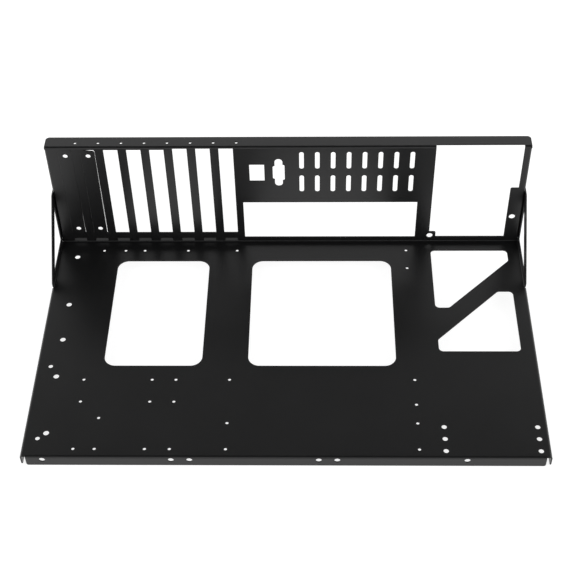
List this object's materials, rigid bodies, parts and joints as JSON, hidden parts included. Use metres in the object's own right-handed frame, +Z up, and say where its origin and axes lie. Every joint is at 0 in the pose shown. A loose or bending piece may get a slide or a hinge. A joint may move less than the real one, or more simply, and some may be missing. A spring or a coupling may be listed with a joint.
{
  "type": "motherboard tray",
  "caption": "Folded steel tray for a computer board: a perforated shelf on a skirt, with a back wall for card slots, ports and a power supply.",
  "frame": {"origin": "on the floor, under the middle of the outer box", "axes": "+X to the right of someone facing the back wall, +Y to the rear, +Z up"},
  "size_m": [0.4308, 0.262, 0.1265],
  "materials": {
    "black_powder_coat": "satin powder coat"
  },
  "bodies": {
    "root": {"tray_sheet": "black_powder_coat"}
  },
  "joints": []
}
